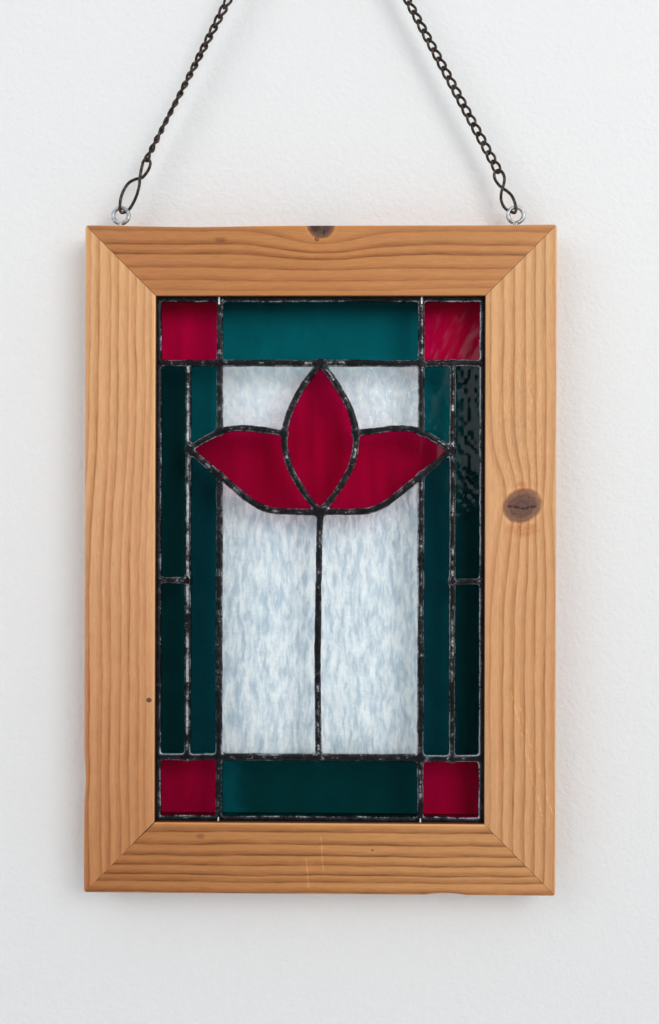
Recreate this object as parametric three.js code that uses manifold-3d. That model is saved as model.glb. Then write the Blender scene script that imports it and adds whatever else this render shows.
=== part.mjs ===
// A small leaded window in a mitred pine frame, hung on a curb chain from one nail.
// Millimetres, +Z up, front towards -Y. The origin is the point where the nail carries the chain.
import * as THREE from 'three';
import { mergeVertices } from 'three/addons/utils/BufferGeometryUtils.js';
import Module from 'manifold-3d';

const wasm = await Module();
wasm.setup();

// ---- Driving dimensions -------------------------------------------------------------------

const FRAME = {
  width: 210,
  height: 298,
  member: 31.5, // width of every rail and stile, seen from the front
  depth: 18,
  ease: 0.7, // broken edges along the members
  topLeftDrop: 1.5, // the frame is out of square: its top left corner sits lower
  mitreGap: 0.15, // each mitre face stands back by this much
};
const HANG = { drop: 330, offset: 2.5 }; // the nail to the frame's centre, down and to the right

const PANEL = {
  glass: 3, // thickness of the glass
  proud: 0.9, // how far the solder stands above the glass
  recess: 3.5, // the frame's front face to the top of the solder
  overlap: 2.8, // how far the panel runs into the frame's groove
  slack: 0.3, // clearance round anything that is let into something else
};
const SEAM = {
  half: 1.5, // half the width of a solder bead where it meets the glass
  rimHalf: 4.5, // width of the rim's foil and solder on the panel's edge
  glassInset: 0.6, // from a seam's centre to the glass
  roll: 0.8, // how much narrower the bead is at its crest
};
const GRID = {
  inner: 45.3, // seams beside the clear panes, left and right of the centre
  split: 59.4, // seams between the two green strips
  top: 88, // seam under the top bar
  bottom: -89.2, // seam over the bottom bar
  stripJoint: -9.8, // joint that halves each outer strip
  stem: -0.5, // the stem under the flower
};
// The flower: each edge is one cubic curve. The points are for the right half, the left mirrors it.
const FLOWER = {
  top: [0, GRID.top],
  foot: [0, 21.2],
  shoulder: [16.5, 56.9], // where the side petal's upper edge meets the middle petal
  tip: [GRID.split, 49],
  middlePulls: [[16.5, 68], [26, 48.5]],
  upperPulls: [[41, 61], [41, 60]],
  lowerPulls: [[22.5, 20.5], [34, 21]],
};

// Wires are given by their radius, and rings and links by their wire's centreline.
const CHAIN = {
  pitch: 4.86,
  width: 2.9,
  wire: 0.62,
  bite: 0.6, // neighbouring links overlap by this much, so that they stay fused
  twist: Math.PI / 2, // a curb link's two ends stand square to each other
  hooked: 1.8, // how far a run's end link reaches past the wire that it hooks round
  besideNail: [1.3, -1], // where a run's last link passes the nail
};
const MIDDLE_LINK = { length: 5.8, width: 3.4, wire: 0.5 };
const EYE = {
  ring: 3.55,
  wire: 0.95,
  height: 155, // the ring's centre, from the frame's centre
  shank: 1,
  joint: 0.5, // how far the shank runs up into the ring's wire
  sunk: 12, // the shank's length in the wood
  point: 2.5, // the length of its tapered end
  blunt: 0.3, // the radius of its tip
};
const WIRE_LINK = { wire: 0.62, smallLoop: 0.7 }; // the upper loop's width, as a share of the lower's
// The hangers, from the frame's centre: the screw eye's x, then the wire link's foot, waist and head
// and its lower loop's width. Rolls turn the wire link at its foot and head, and the chain's links at
// the run's foot and head.
const HANGERS = {
  left: {
    eye: -91, foot: [-90.6, 156.2], waist: [-81.8, 172.2], head: [-78.6, 182.2], wide: 6.4,
    rolls: [-1.2, 0.7], runRolls: [1.57, -0.95],
  },
  right: {
    eye: 88.2, foot: [87.8, 156.6], waist: [82.6, 168.4], head: [79.8, 176.3], wide: 5.2,
    rolls: [0.95, -0.64], runRolls: [0.15, -0.95],
  },
};
const CHIP = { x: 55.3, radius: 18, bite: 1.2, tilt: 0.13 }; // hollow in the bottom rail's front edge

const FACETS = {
  sideEdge: 10, // along a side petal's edge
  middleEdge: 6, // along the middle petal's edge, above and below its shoulder
  shortest: 2.5, // no side of an outline that is cut through is shorter
  wireLink: [18, 5], // along the wire and round it, here and in the next two
  chainLink: [4, 4],
  middleLink: [12, 6],
  ring: [16, 6],
  shank: 8,
  pilotHole: 12,
  chip: 64,
};
const WELD = 1e-4; // corners nearer than this are one
const TOUCH = 1e-3; // outlines nearer than this coincide

// ---- Materials ----------------------------------------------------------------------------

const finish = (color, roughness, metalness = 0) =>
  new THREE.MeshStandardMaterial({ color, roughness, metalness });
const glassOf = (color) => Object.assign(finish(color, 0.08), { transparent: true, opacity: 0.6 });
const MATERIAL = {
  pine: finish(0xc08a58, 0.55),
  solder: finish(0x26262b, 0.42, 0.7),
  red: glassOf(0x86002c),
  green: glassOf(0x06423f),
  clear: glassOf(0xc8d4d8),
  chain: finish(0x3b332c, 0.45, 0.8),
  zinc: finish(0xb9bec2, 0.3, 0.9),
};

// ---- Solids -------------------------------------------------------------------------------

const bare = (geometry) => mergeVertices(geometry.deleteAttribute('normal').deleteAttribute('uv'), WELD);

function solidOf(geometry) {
  const closed = bare(geometry);
  return new wasm.Manifold(new wasm.Mesh({
    numProp: 3,
    vertProperties: Float32Array.from(closed.attributes.position.array),
    triVerts: Uint32Array.from(closed.index.array),
  }));
}

function geometryOf(solid) {
  const mesh = solid.getMesh();
  const geometry = new THREE.BufferGeometry();
  geometry.setAttribute('position', new THREE.BufferAttribute(mesh.vertProperties, 3));
  geometry.setIndex(new THREE.BufferAttribute(mesh.triVerts, 1));
  geometry.computeVertexNormals();
  return geometry;
}

function named(name, geometry, material) {
  const mesh = new THREE.Mesh(geometry, material);
  mesh.name = name;
  return mesh;
}

const prism = (outline, low, high) =>
  new THREE.ExtrudeGeometry(new THREE.Shape(outline), { depth: high - low, bevelEnabled: false })
    .translate(0, 0, low);

// ---- Outlines, in the plane of the panel: x to the right, y up, from the frame's centre --------

const point = ([x, y]) => new THREE.Vector2(x, y);
const mirrored = (points) => points.map((p) => new THREE.Vector2(-p.x, p.y)).reverse();

const cubic = (from, pulls, to) => new THREE.CubicBezierCurve(...[from, ...pulls, to].map(point));

/** Moves each side of an anticlockwise outline inwards by a distance, which may differ by side. */
function inset(outline, distanceOf) {
  const count = outline.length;
  const sides = outline.map((a, i) => {
    const b = outline[(i + 1) % count];
    const along = b.clone().sub(a).normalize();
    const inward = new THREE.Vector2(-along.y, along.x);
    return { along, from: a.clone().addScaledVector(inward, distanceOf(a, b)) };
  });
  return sides.map((side, i) => {
    const before = sides[(i + count - 1) % count];
    const turn = before.along.cross(side.along);
    if (Math.abs(turn) < TOUCH) return side.from.clone();
    const reach = side.from.clone().sub(before.from).cross(side.along) / turn;
    return before.from.clone().addScaledVector(before.along, reach);
  });
}

const halfOpening = new THREE.Vector2(FRAME.width, FRAME.height).multiplyScalar(0.5)
  .subScalar(FRAME.member);
const rim = halfOpening.clone().addScalar(PANEL.overlap); // the panel's edge

const box = (left, right, low, high) =>
  [[left, low], [right, low], [right, high], [left, high]].map(point);

/** The place along a curve, from 0 to 1, that is nearest to a point. */
function nearest(curve, target) {
  const steps = 400;
  const places = Array.from({ length: steps + 1 }, (_, i) => i / steps);
  const away = (t) => curve.getPoint(t).distanceTo(target);
  return places.reduce((best, t) => (away(t) < away(best) ? t : best));
}

// The flower's right half: the middle petal's edge from its top to its foot, then the side petal's.
const middleSide = cubic(FLOWER.top, FLOWER.middlePulls, FLOWER.foot);
const shoulderAt = nearest(middleSide, point(FLOWER.shoulder));
const middleEdge = (from, to) => Array.from({ length: FACETS.middleEdge + 1 }, (_, i) =>
  middleSide.getPoint(THREE.MathUtils.lerp(from, to, i / FACETS.middleEdge)));

const aboveShoulder = middleEdge(0, shoulderAt);
const belowShoulder = middleEdge(shoulderAt, 1);
const shoulder = belowShoulder[0].toArray();
const upperEdge = cubic(FLOWER.tip, FLOWER.upperPulls, shoulder).getPoints(FACETS.sideEdge);
const lowerEdge = cubic(FLOWER.tip, FLOWER.lowerPulls, FLOWER.foot).getPoints(FACETS.sideEdge);

/** Splits an edge that starts at the petal's tip where it crosses the inner vertical seam. */
function splitAtInner(points) {
  const after = points.findIndex((p) => p.x < GRID.inner);
  const [a, b] = [points[after - 1], points[after]];
  const cross = a.clone().lerp(b, (a.x - GRID.inner) / (a.x - b.x));
  const clear = (p) => p.distanceTo(cross) > FACETS.shortest;
  return {
    outer: [...points.slice(0, after).filter(clear), cross],
    inner: [cross, ...points.slice(after).filter(clear)],
  };
}
const upper = splitAtInner(upperEdge);
const lower = splitAtInner(lowerEdge);

/**
 * Outlines along the seams' centres, as on the right, of the pieces that come as a left and a right.
 * Only the stem isn't on the centre line, so it lies on another side of it for the left.
 */
const pairs = (side) => ({
  corner_top: { color: 'red', outline: box(GRID.inner, rim.x, GRID.top, rim.y) },
  corner_bottom: { color: 'red', outline: box(GRID.inner, rim.x, -rim.y, GRID.bottom) },
  outer_strip_upper: { color: 'green', outline: box(GRID.split, rim.x, GRID.stripJoint, GRID.top) },
  outer_strip_lower: { color: 'green', outline: box(GRID.split, rim.x, GRID.bottom, GRID.stripJoint) },
  inner_strip_upper: {
    color: 'green',
    outline: [...upper.outer, point([GRID.inner, GRID.top]), point([GRID.split, GRID.top])].reverse(),
  },
  inner_strip_lower: {
    color: 'green',
    outline: [...lower.outer, point([GRID.inner, GRID.bottom]), point([GRID.split, GRID.bottom])],
  },
  clear_upper: {
    color: 'clear',
    outline: [point([GRID.inner, GRID.top]), ...aboveShoulder.slice(0, -1), ...upper.inner.toReversed()],
  },
  clear_lower: {
    color: 'clear',
    outline: [
      ...lower.inner, point([side * GRID.stem, GRID.bottom]), point([GRID.inner, GRID.bottom]),
    ],
  },
  petal_side: {
    color: 'red',
    outline: [...upperEdge, ...belowShoulder.slice(1), ...lowerEdge.slice(1, -1).reverse()],
  },
});
const middlePetalSide = [...aboveShoulder, ...belowShoulder.slice(1)];
const singles = {
  bar_top: { color: 'green', outline: box(-GRID.inner, GRID.inner, GRID.top, rim.y) },
  bar_bottom: { color: 'green', outline: box(-GRID.inner, GRID.inner, -rim.y, GRID.bottom) },
  petal_middle: {
    color: 'red',
    outline: [...middlePetalSide, ...mirrored(middlePetalSide).slice(1, -1)],
  },
};

function piecesOfGlass() {
  const pieces = Object.entries(singles).map(([name, piece]) => ({ name, ...piece }));
  for (const [name, { color, outline }] of Object.entries(pairs(1))) {
    pieces.push({ name: `${name}_right`, color, outline });
  }
  for (const [name, { color, outline }] of Object.entries(pairs(-1))) {
    pieces.push({ name: `${name}_left`, color, outline: mirrored(outline) });
  }
  for (const piece of pieces) {
    if (THREE.ShapeUtils.area(piece.outline) < 0) piece.outline.reverse();
  }
  return pieces;
}

/** Sides on the panel's own edge keep the rim's distance, all others the seam's. */
const onRim = (a, b) => ['x', 'y'].some((axis) =>
  Math.abs(a[axis] - b[axis]) < TOUCH && Math.abs(Math.abs(a[axis]) - rim[axis]) < TOUCH);
const windowOf = (outline, roll) =>
  inset(outline, (a, b) => (onRim(a, b) ? SEAM.rimHalf : SEAM.half) - roll);

// ---- The leaded panel ------------------------------------------------------------------------

/** What one window takes out of the solder: narrow at the glass, wide at the beads' crests. */
function windowTool(outline) {
  const narrow = windowOf(outline, 0);
  const wide = windowOf(outline, SEAM.roll);
  const [low, high] = [PANEL.glass / 2, PANEL.glass / 2 + PANEL.proud];
  const levels = [-high, -low, low, high];
  const last = levels.length - 1;
  const geometry = new THREE.ExtrudeGeometry(
    new THREE.Shape(narrow), { depth: last, steps: last, bevelEnabled: false });
  const place = geometry.attributes.position;
  for (let i = 0; i < place.count; i += 1) {
    const here = point([place.getX(i), place.getY(i)]);
    const corner = narrow.findIndex((p) => p.distanceTo(here) < TOUCH);
    const level = Math.round(place.getZ(i));
    const spot = (level % last ? narrow : wide)[corner];
    place.setXYZ(i, spot.x, spot.y, levels[level]);
  }
  return solidOf(geometry);
}

function solder(pieces) {
  const crest = PANEL.glass / 2 + PANEL.proud;
  const channel = PANEL.glass / 2 + PANEL.slack;
  const sheet = solidOf(prism(box(-rim.x, rim.x, -rim.y, rim.y), -crest, crest));
  return pieces.reduce((solid, { outline }) => {
    const room = inset(outline, () => SEAM.glassInset - PANEL.slack);
    return solid.subtract(windowTool(outline)).subtract(solidOf(prism(room, -channel, channel)));
  }, sheet);
}

function leadedPanel() {
  const pieces = piecesOfGlass();
  const panel = new THREE.Group();
  panel.position.z = FRAME.depth / 2 - PANEL.recess - PANEL.proud - PANEL.glass / 2;
  panel.add(named('solder_lattice', geometryOf(solder(pieces)), MATERIAL.solder));
  for (const { name, color, outline } of pieces) {
    const shape = inset(outline, () => SEAM.glassInset);
    const slab = prism(shape, -PANEL.glass / 2, PANEL.glass / 2);
    panel.add(named(`glass_${name}`, bare(slab), MATERIAL[color]));
  }
  return panel;
}

// ---- The pine frame --------------------------------------------------------------------------

/** A member's section: x from its outer edge to its inner edge, y from the mid-plane to the front. */
function memberSection(panelZ) {
  const { member, ease } = FRAME;
  const front = FRAME.depth / 2;
  const groove = PANEL.glass / 2 + PANEL.proud + PANEL.slack;
  const floor = member - PANEL.overlap - PANEL.slack;
  return new THREE.Shape([
    [0, ease - front], [ease, -front], [member - ease, -front], [member, ease - front],
    [member, panelZ - groove], [floor, panelZ - groove], [floor, panelZ + groove],
    [member, panelZ + groove], [member, front - ease], [member - ease, front],
    [ease, front], [0, front - ease],
  ].map(point));
}

/** A member between two mitres. Each mitre is a line from the frame's outer to its inner corner. */
function member(section, start, end) {
  const geometry = new THREE.ExtrudeGeometry(section, { depth: 1, bevelEnabled: false });
  const along = end.inner.clone().sub(start.inner).normalize().multiplyScalar(FRAME.mitreGap);
  const place = geometry.attributes.position;
  for (let i = 0; i < place.count; i += 1) {
    const mitre = place.getZ(i) < 0.5 ? start : end;
    const share = place.getX(i) / FRAME.member;
    const spot = mitre.outer.clone().lerp(mitre.inner, share)
      .addScaledVector(along, mitre === start ? 1 : -1);
    place.setXYZ(i, spot.x, spot.y, place.getY(i));
  }
  return solidOf(geometry);
}

function mitre(sideX, sideY, drop = 0) {
  const half = new THREE.Vector2(FRAME.width, FRAME.height).multiplyScalar(0.5);
  return {
    outer: new THREE.Vector2(sideX * half.x, sideY * half.y - drop),
    inner: new THREE.Vector2(sideX * halfOpening.x, sideY * halfOpening.y),
  };
}

/** The hole that each screw eye sits in, open at the frame's top edge. */
function pilotHole(x) {
  const radius = EYE.shank + PANEL.slack;
  const length = EYE.sunk + EYE.point + PANEL.slack;
  return solidOf(new THREE.CylinderGeometry(radius, radius, length * 2, FACETS.pilotHole)
    .translate(x, FRAME.height / 2, 0));
}

function chip() {
  const tool = new THREE.CylinderGeometry(CHIP.radius, CHIP.radius, FRAME.depth, FACETS.chip)
    .rotateX(Math.PI / 2 + CHIP.tilt);
  return solidOf(tool.translate(
    CHIP.x, CHIP.bite - FRAME.height / 2 - CHIP.radius, FRAME.depth / 2));
}

function pineFrame(panelZ) {
  const section = memberSection(panelZ);
  const topRight = mitre(1, 1);
  const topLeft = mitre(-1, 1, FRAME.topLeftDrop);
  const bottomLeft = mitre(-1, -1);
  const bottomRight = mitre(1, -1);
  const top = Object.values(HANGERS).reduce(
    (rail, { eye }) => rail.subtract(pilotHole(eye)), member(section, topRight, topLeft));
  const solids = {
    frame_rail_top: top,
    frame_stile_left: member(section, topLeft, bottomLeft),
    frame_rail_bottom: member(section, bottomLeft, bottomRight).subtract(chip()),
    frame_stile_right: member(section, bottomRight, topRight),
  };
  return Object.entries(solids).map(([name, solid]) => named(name, geometryOf(solid), MATERIAL.pine));
}

// ---- Hangers and chain -------------------------------------------------------------------------

/**
 * The centreline of a closed wire link between two points. Its sides swell to the given widths
 * below and above the waist, cross there if asked, and turn from one roll angle to the other.
 */
class WireLink extends THREE.Curve {
  constructor({ foot, head, waist = 0.5, widths, rolls, crossed = false, gap = 0, begin = 0 }) {
    super();
    Object.assign(this, { foot, waist, widths, rolls, crossed, gap, begin });
    this.axis = head.clone().sub(foot);
    this.out = new THREE.Vector3(0, 0, 1);
    this.side = this.axis.clone().normalize().cross(this.out);
  }

  getPoint(t, target = new THREE.Vector3()) {
    const turn = 2 * Math.PI * (t + this.begin);
    const rise = -Math.cos(turn);
    const share = rise < 0 ? this.waist * (1 + rise) : this.waist + (1 - this.waist) * rise;
    const [low, high] = this.widths;
    const width = (rise < 0 ? low : high) / 2;
    const swing = width * Math.sin(this.crossed ? 2 * turn : turn);
    const lift = this.gap * Math.sin(turn);
    const roll = this.rolls[0] + (this.rolls[1] - this.rolls[0]) * share;
    return target.copy(this.foot).addScaledVector(this.axis, share)
      .addScaledVector(this.side, swing * Math.cos(roll) - lift * Math.sin(roll))
      .addScaledVector(this.out, swing * Math.sin(roll) + lift * Math.cos(roll));
  }
}

const closedWire = (curve, radius, [along, round]) =>
  new THREE.TubeGeometry(curve, along, radius, round, true);

function screwEye(x) {
  const [along, round] = FACETS.ring;
  const ring = solidOf(new THREE.TorusGeometry(EYE.ring, EYE.wire, round, along));
  const top = EYE.joint - EYE.ring;
  const tip = FRAME.height / 2 - EYE.sunk - EYE.height;
  const shank = solidOf(new THREE.LatheGeometry([
    [0, tip], [EYE.blunt, tip], [EYE.shank, tip + EYE.point], [EYE.shank, top], [0, top],
  ].map(point), FACETS.shank));
  return ring.add(shank).translate(x, EYE.height, 0);
}

const flat = ([x, y]) => new THREE.Vector3(x, y, 0);

/** The bent wire link that joins a screw eye to the chain: a figure of eight, large loop below. */
function eyeLink({ foot, waist, head, wide, rolls }) {
  const long = flat(head).distanceTo(flat(foot));
  const centreline = new WireLink({
    foot: flat(foot),
    head: flat(head),
    waist: flat(waist).distanceTo(flat(foot)) / long,
    widths: [wide, wide * WIRE_LINK.smallLoop],
    rolls,
    crossed: true,
    gap: WIRE_LINK.wire,
  });
  return solidOf(closedWire(centreline, WIRE_LINK.wire, FACETS.wireLink));
}

/** A straight run of curb links, fused. It hooks into the wire link's head and the middle link. */
function chainRun(name, hooked, top, [rollFoot, rollHead]) {
  const direction = top.clone().sub(hooked).normalize();
  const foot = hooked.clone().addScaledVector(direction, -CHAIN.hooked);
  const count = Math.round((foot.distanceTo(top) - CHAIN.bite) / CHAIN.pitch);
  const step = (foot.distanceTo(top) - CHAIN.bite) / count;
  // A link has so few sides that its ends are flat: it is drawn larger, to put them in their place.
  const [along] = FACETS.chainLink;
  const corner = 1 / Math.cos(Math.PI / along);
  const reach = (corner * (step + CHAIN.bite)) / 2;
  const link = closedWire(new WireLink({
    foot: new THREE.Vector3(0, -reach, 0),
    head: new THREE.Vector3(0, reach, 0),
    widths: [corner * CHAIN.width, corner * CHAIN.width],
    rolls: [CHAIN.twist / 2, -CHAIN.twist / 2],
    begin: 0.5 / along,
  }), CHAIN.wire, FACETS.chainLink);
  const links = Array.from({ length: count }, (_, i) => solidOf(link.clone()
    .rotateY(-THREE.MathUtils.lerp(rollFoot, rollHead, (i + 0.5) / count))
    .translate(0, step * i + (step + CHAIN.bite) / 2, 0)));
  const run = named(name, geometryOf(links.reduce((fused, next) => fused.add(next))), MATERIAL.chain);
  run.position.copy(foot);
  run.rotation.z = -Math.atan2(direction.x, direction.y);
  return run;
}

/** The link that lies on the nail: the underside of its upper side is at the origin. */
function middleLink() {
  const { length, width, wire } = MIDDLE_LINK;
  const height = wire - width / 2;
  const centreline = new WireLink({
    foot: new THREE.Vector3(-length / 2, height, 0),
    head: new THREE.Vector3(length / 2, height, 0),
    widths: [width, width],
    rolls: [0, 0],
  });
  return solidOf(closedWire(centreline, wire, FACETS.middleLink));
}

// ---- Assembly ------------------------------------------------------------------------------------

// Everything below is drawn upright in the x-y plane and then turned to stand along Z.
const upright = new THREE.Group();
upright.rotation.x = Math.PI / 2;

const hung = new THREE.Group();
hung.position.set(HANG.offset, -HANG.drop, 0);
const panel = leadedPanel();
hung.add(panel, ...pineFrame(panel.position.z));
upright.add(hung);

const [besideNail, belowNail] = CHAIN.besideNail;
for (const [side, hanger] of Object.entries(HANGERS)) {
  hung.add(named(`screw_eye_${side}`, geometryOf(screwEye(hanger.eye)), MATERIAL.zinc));
  hung.add(named(`wire_link_${side}`, geometryOf(eyeLink(hanger)), MATERIAL.chain));
  const hooked = flat(hanger.head).add(hung.position);
  const top = flat([Math.sign(hanger.eye) * besideNail, belowNail]);
  upright.add(chainRun(`chain_${side}`, hooked, top, hanger.runRolls));
}
upright.add(named('chain_middle_link', geometryOf(middleLink()), MATERIAL.chain));

const part = new THREE.Group();
part.add(upright);
export default part;
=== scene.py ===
"""The finish of a small leaded window in a pine frame that hangs on a curb chain from one nail.

Lengths are millimetres until a mesh is made. Places in the window are measured from the frame's
centre, x to the right and z up. y is the depth from the frame's mid-plane, with the front at -y.
"""
import math
from collections import namedtuple

import bpy
import numpy as np
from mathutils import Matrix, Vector


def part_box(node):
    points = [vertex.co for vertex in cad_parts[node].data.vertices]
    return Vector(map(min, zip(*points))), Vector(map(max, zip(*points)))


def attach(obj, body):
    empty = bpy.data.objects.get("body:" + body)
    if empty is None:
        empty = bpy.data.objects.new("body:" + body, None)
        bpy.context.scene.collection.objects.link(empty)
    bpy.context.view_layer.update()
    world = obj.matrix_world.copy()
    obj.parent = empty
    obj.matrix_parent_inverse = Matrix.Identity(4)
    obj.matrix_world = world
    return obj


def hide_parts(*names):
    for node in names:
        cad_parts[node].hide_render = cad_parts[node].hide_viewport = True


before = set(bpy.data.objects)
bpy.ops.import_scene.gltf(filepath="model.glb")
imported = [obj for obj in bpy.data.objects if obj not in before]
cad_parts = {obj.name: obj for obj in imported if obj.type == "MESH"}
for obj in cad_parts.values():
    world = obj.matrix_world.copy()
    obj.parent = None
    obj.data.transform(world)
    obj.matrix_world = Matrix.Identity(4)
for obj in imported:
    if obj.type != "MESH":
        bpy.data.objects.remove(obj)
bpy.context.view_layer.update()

MM = 0.001
X, Y, Z = 0, 1, 2

# ---- What the frame says ----


def span(*nodes):
    """The lowest and highest corner of some CAD nodes together."""
    boxes = [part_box(node) for node in nodes]
    low = np.min([box[0] for box in boxes], axis=0) / MM
    high = np.max([box[1] for box in boxes], axis=0) / MM
    return low, high


RAILS = ("frame_rail_top", "frame_rail_bottom", "frame_stile_left", "frame_stile_right")
FRAME_LOW, FRAME_HIGH = span(*RAILS)
CENTRE = (FRAME_LOW + FRAME_HIGH) / 2
HALF_WIDTH, HALF_DEPTH, HALF_HEIGHT = (FRAME_HIGH - FRAME_LOW) / 2
STILE_LOW, STILE_HIGH = span("frame_stile_left")
MEMBER = STILE_HIGH[X] - STILE_LOW[X]
FRONT = -HALF_DEPTH

PANEL_LOW, PANEL_HIGH = span("solder_lattice")
GLASS_LOW, GLASS_HIGH = span("glass_bar_top")
RIM_X = (PANEL_HIGH[X] - PANEL_LOW[X]) / 2
RIM_Z = (PANEL_HIGH[Z] - PANEL_LOW[Z]) / 2
PANEL_Y = (PANEL_HIGH[Y] + PANEL_LOW[Y]) / 2
HALF_GLASS = (GLASS_HIGH[Y] - GLASS_LOW[Y]) / 2
PROUD = (PANEL_HIGH[Y] - PANEL_LOW[Y]) / 2 - HALF_GLASS
GROOVE = HALF_GLASS + PROUD + 0.3
GROOVE_FLOOR = HALF_WIDTH - RIM_X - 0.3


def seam_between(lower, upper, axis):
    """Where a straight seam runs: midway between the pane below or left of it and the next one."""
    return (span(lower)[1][axis] + span(upper)[0][axis]) / 2 - CENTRE[axis]


INNER = seam_between("glass_bar_top", "glass_corner_top_right", X)
SPLIT = seam_between("glass_inner_strip_upper_right", "glass_outer_strip_upper_right", X)
TOP = seam_between("glass_clear_upper_right", "glass_bar_top", Z)
BOTTOM = seam_between("glass_bar_bottom", "glass_clear_lower_right", Z)
STRIP_JOINT = seam_between("glass_outer_strip_lower_right", "glass_outer_strip_upper_right", Z)
STEM = -0.5

# ---- Random relief ----


def scatter(seed, column, row):
    """A repeatable random number from -1 to 1 for each cell of a grid."""
    mixed = (column * 374761393 + row * 668265263 + seed * 362437) & 0xFFFFFFFF
    mixed = ((mixed ^ (mixed >> 13)) * 1274126177) & 0xFFFFFFFF
    return (mixed ^ (mixed >> 16)) / 2**31 - 1


def eased(share):
    return share * share * (3 - 2 * share)


def relief(x, z, cell, seed):
    """Smooth random relief from -1 to 1, with bumps about one cell across (a size or two sizes)."""
    wide, tall = cell if isinstance(cell, tuple) else (cell, cell)
    across, up = np.asarray(x) / wide, np.asarray(z) / tall
    column, row = np.floor(across).astype(np.int64), np.floor(up).astype(np.int64)
    right, above = eased(across - column), eased(up - row)
    low = scatter(seed, column, row) * (1 - right) + scatter(seed, column + 1, row) * right
    high = scatter(seed, column, row + 1) * (1 - right) + scatter(seed, column + 1, row + 1) * right
    return low * (1 - above) + high * above


def bell(distance, width):
    return np.exp(-0.5 * (distance / width) ** 2)


# ---- Materials: patterns written as sums ----


def linear(red, green, blue):
    """A screen colour from 0 to 255 as the linear colour that shaders take."""
    share = np.array([red, green, blue]) / 255
    curved = np.where(share <= 0.04045, share / 12.92, ((share + 0.055) / 1.055) ** 2.4)
    return (*curved.tolist(), 1)


class Signal:
    """A number or colour that varies over a surface. Arithmetic on it adds nodes."""

    def __init__(self, graph, socket):
        self.graph = graph
        self.socket = socket

    def math(self, operation, *others):
        return self.graph.made("ShaderNodeMath", self, *others, operation=operation)

    def __add__(self, other):
        return self.math("ADD", other)

    def __sub__(self, other):
        return self.math("SUBTRACT", other)

    def __mul__(self, other):
        return self.math("MULTIPLY", other)

    __radd__ = __add__
    __rmul__ = __mul__

    def __rsub__(self, other):
        return (self * -1) + other

    def size(self):
        return self.math("ABSOLUTE")

    def bell(self, width):
        """1 where the signal is 0, and nearly 0 two widths away."""
        return (self * self * (-0.5 / width**2)).math("EXPONENT")

    def rise(self, low, high):
        """0 at low and 1 at high, eased between. low may be the higher one."""
        return self.graph.made("ShaderNodeMapRange", self, low, high, interpolation_type="SMOOTHSTEP")


class Graph:
    """A node tree, with short names for the nodes used here."""

    def __init__(self, tree):
        self.tree = tree

    def plug(self, value, socket):
        if isinstance(value, Signal):
            self.tree.links.new(value.socket, socket)
        else:
            socket.default_value = value

    def add(self, kind, *values, **named):
        """A new node. Names with a small letter are its properties, and with a capital its sockets."""
        node = self.tree.nodes.new(kind)
        for socket, value in zip(node.inputs, values):
            self.plug(value, socket)
        for name, value in named.items():
            if name[0].islower():
                setattr(node, name, value)
            else:
                self.plug(value, node.inputs[name.replace("_", " ")])
        return node

    def made(self, kind, *values, **named):
        """The first output of a new node."""
        return Signal(self, self.add(kind, *values, **named).outputs[0])

    def parts(self, node, output):
        """The three numbers of a node's output."""
        apart = self.add("ShaderNodeSeparateXYZ", Signal(self, node.outputs[output]))
        return [Signal(self, part) for part in apart.outputs]

    def attribute(self, name):
        """The three numbers that a mesh keeps at each point under this name."""
        return self.parts(self.add("ShaderNodeAttribute", attribute_name=name), "Vector")

    def place(self):
        """The place on the object, in millimetres from the hanging point."""
        return [part * (1 / MM) for part in self.parts(self.add("ShaderNodeTexCoord"), "Object")]

    def scaled(self, place, cell):
        return self.made("ShaderNodeCombineXYZ", *[p * (1 / c) for p, c in zip(place, cell)])

    def noise(self, place, cell, detail=2.0, roughness=0.5):
        """Random relief from about -1 to 1. cell is the size of its bumps along each axis."""
        cloud = self.made("ShaderNodeTexNoise", Vector=self.scaled(place, cell),
                          Scale=1.0, Detail=detail, Roughness=roughness)
        return cloud * 4 - 2

    def specks(self, place, cell, radius):
        """1 in a round speck in each cell of a loose grid, and 0 between them."""
        away = self.made("ShaderNodeTexVoronoi", Vector=self.scaled(place, cell), Scale=1.0)
        return away.rise(radius, radius * 0.5)

    def ramp(self, signal, stops):
        """A colour or grey that follows the signal: stops are pairs of a place and a colour."""
        low, high = stops[0][0], stops[-1][0]
        node = self.add("ShaderNodeValToRGB", (signal - low) * (1 / (high - low)))
        points = node.color_ramp.elements
        for _ in stops[2:]:
            points.new(0.5)
        for point, (where, colour) in zip(points, stops):
            point.position = (where - low) / (high - low)
            point.color = colour if isinstance(colour, tuple) else (colour, colour, colour, 1)
        return Signal(self, node.outputs[0])

    def mix(self, share, first, second):
        return self.made("ShaderNodeMixRGB", share, first, second)

    def tinted(self, colour, share, tint):
        """A colour multiplied by a tint, by a share from 0 to 1."""
        return self.made("ShaderNodeMixRGB", share, colour, tint, blend_type="MULTIPLY")

    def shaded(self, colour, factor):
        """A colour made lighter or darker by a factor."""
        return self.made("ShaderNodeVectorMath", colour, operation="SCALE", Scale=factor)


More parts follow.
